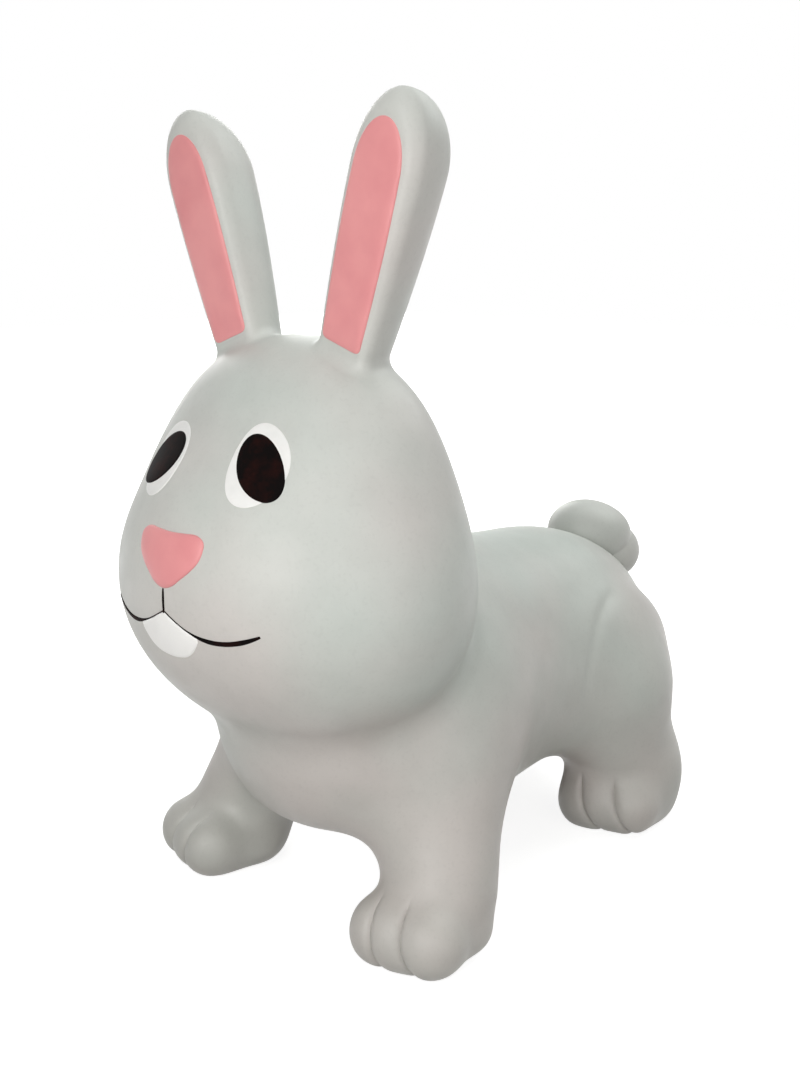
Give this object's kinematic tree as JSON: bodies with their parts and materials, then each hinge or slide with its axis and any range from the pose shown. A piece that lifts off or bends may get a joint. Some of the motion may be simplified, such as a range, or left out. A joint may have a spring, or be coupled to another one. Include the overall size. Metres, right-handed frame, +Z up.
{
  "type": "bouncy ride-on animal",
  "caption": "Inflatable bouncing rabbit that a child sits on: round soft body and head, upright ears to hold, short legs that squash, and an air stopper under the belly.",
  "frame": {"origin": "middle of the footprint at the floor, under the box around the whole rabbit", "axes": "+X to the animal's left, -Y the way it faces, +Z up"},
  "size_m": [0.2924, 0.5046, 0.5488],
  "materials": {
    "grey_skin": "matte soft PVC",
    "pink_skin": "satin paint on soft PVC",
    "white_paint": "satin paint on soft PVC",
    "black_paint": "satin paint on soft PVC",
    "valve_plastic": "smooth soft plastic"
  },
  "bodies": {
    "torso": {"torso": "grey_skin", "tail": "grey_skin", "valve_seat": "valve_plastic", "neck": "grey_skin", "front_left_leg": "grey_skin", "front_right_leg": "grey_skin", "rear_left_leg": "grey_skin", "rear_right_leg": "grey_skin"},
    "head": {"head": "grey_skin", "left_eye_white": "white_paint", "right_eye_white": "white_paint", "left_pupil": "black_paint", "right_pupil": "black_paint", "nose": "pink_skin", "tooth": "white_paint", "lip_line": "black_paint", "left_mouth_line": "black_paint", "right_mouth_line": "black_paint", "left_ear_root": "grey_skin", "right_ear_root": "grey_skin"},
    "left_ear": {"left_ear": "grey_skin", "left_inner_ear": "pink_skin"},
    "right_ear": {"right_ear": "grey_skin", "right_inner_ear": "pink_skin"},
    "front_left_paw": {"front_left_paw": "grey_skin"},
    "front_right_paw": {"front_right_paw": "grey_skin"},
    "rear_left_paw": {"rear_left_paw": "grey_skin"},
    "rear_right_paw": {"rear_right_paw": "grey_skin"},
    "air_stopper": {"air_stopper": "valve_plastic"}
  },
  "joints": [
    {"name": "head_nod", "type": "hinge", "parent": "torso", "child": "head", "pos_m": [0, -0.1145, 0.196], "axis": [1, 0, 0], "range_deg": [-6, 6], "stiffness_Nm_per_rad": 12, "deforming": ["neck"]},
    {"name": "left_ear_bend", "type": "hinge", "parent": "head", "child": "left_ear", "pos_m": [0.0558, -0.142, 0.4125], "axis": [1, 0, 0], "range_deg": [-25, 25], "stiffness_Nm_per_rad": 0.8, "deforming": ["left_ear_root"]},
    {"name": "right_ear_bend", "type": "hinge", "parent": "head", "child": "right_ear", "pos_m": [-0.0558, -0.142, 0.4125], "axis": [1, 0, 0], "range_deg": [-25, 25], "stiffness_Nm_per_rad": 0.8, "deforming": ["right_ear_root"]},
    {"name": "front_left_leg_squash", "type": "slide", "parent": "torso", "child": "front_left_paw", "axis": [0, 0, 1], "range_m": [0, 0.014], "stiffness_N_per_m": 3000, "springref_m": -0.002, "deforming": ["front_left_leg"]},
    {"name": "front_right_leg_squash", "type": "slide", "parent": "torso", "child": "front_right_paw", "axis": [0, 0, 1], "range_m": [0, 0.014], "stiffness_N_per_m": 3000, "springref_m": -0.002, "deforming": ["front_right_leg"]},
    {"name": "rear_left_leg_squash", "type": "slide", "parent": "torso", "child": "rear_left_paw", "axis": [0, 0, 1], "range_m": [0, 0.014], "stiffness_N_per_m": 3000, "springref_m": -0.002, "deforming": ["rear_left_leg"]},
    {"name": "rear_right_leg_squash", "type": "slide", "parent": "torso", "child": "rear_right_paw", "axis": [0, 0, 1], "range_m": [0, 0.014], "stiffness_N_per_m": 3000, "springref_m": -0.002, "deforming": ["rear_right_leg"]},
    {"name": "stopper_pull", "type": "slide", "parent": "torso", "child": "air_stopper", "axis": [0, 0, -1], "range_m": [0, 0.014]}
  ]
}
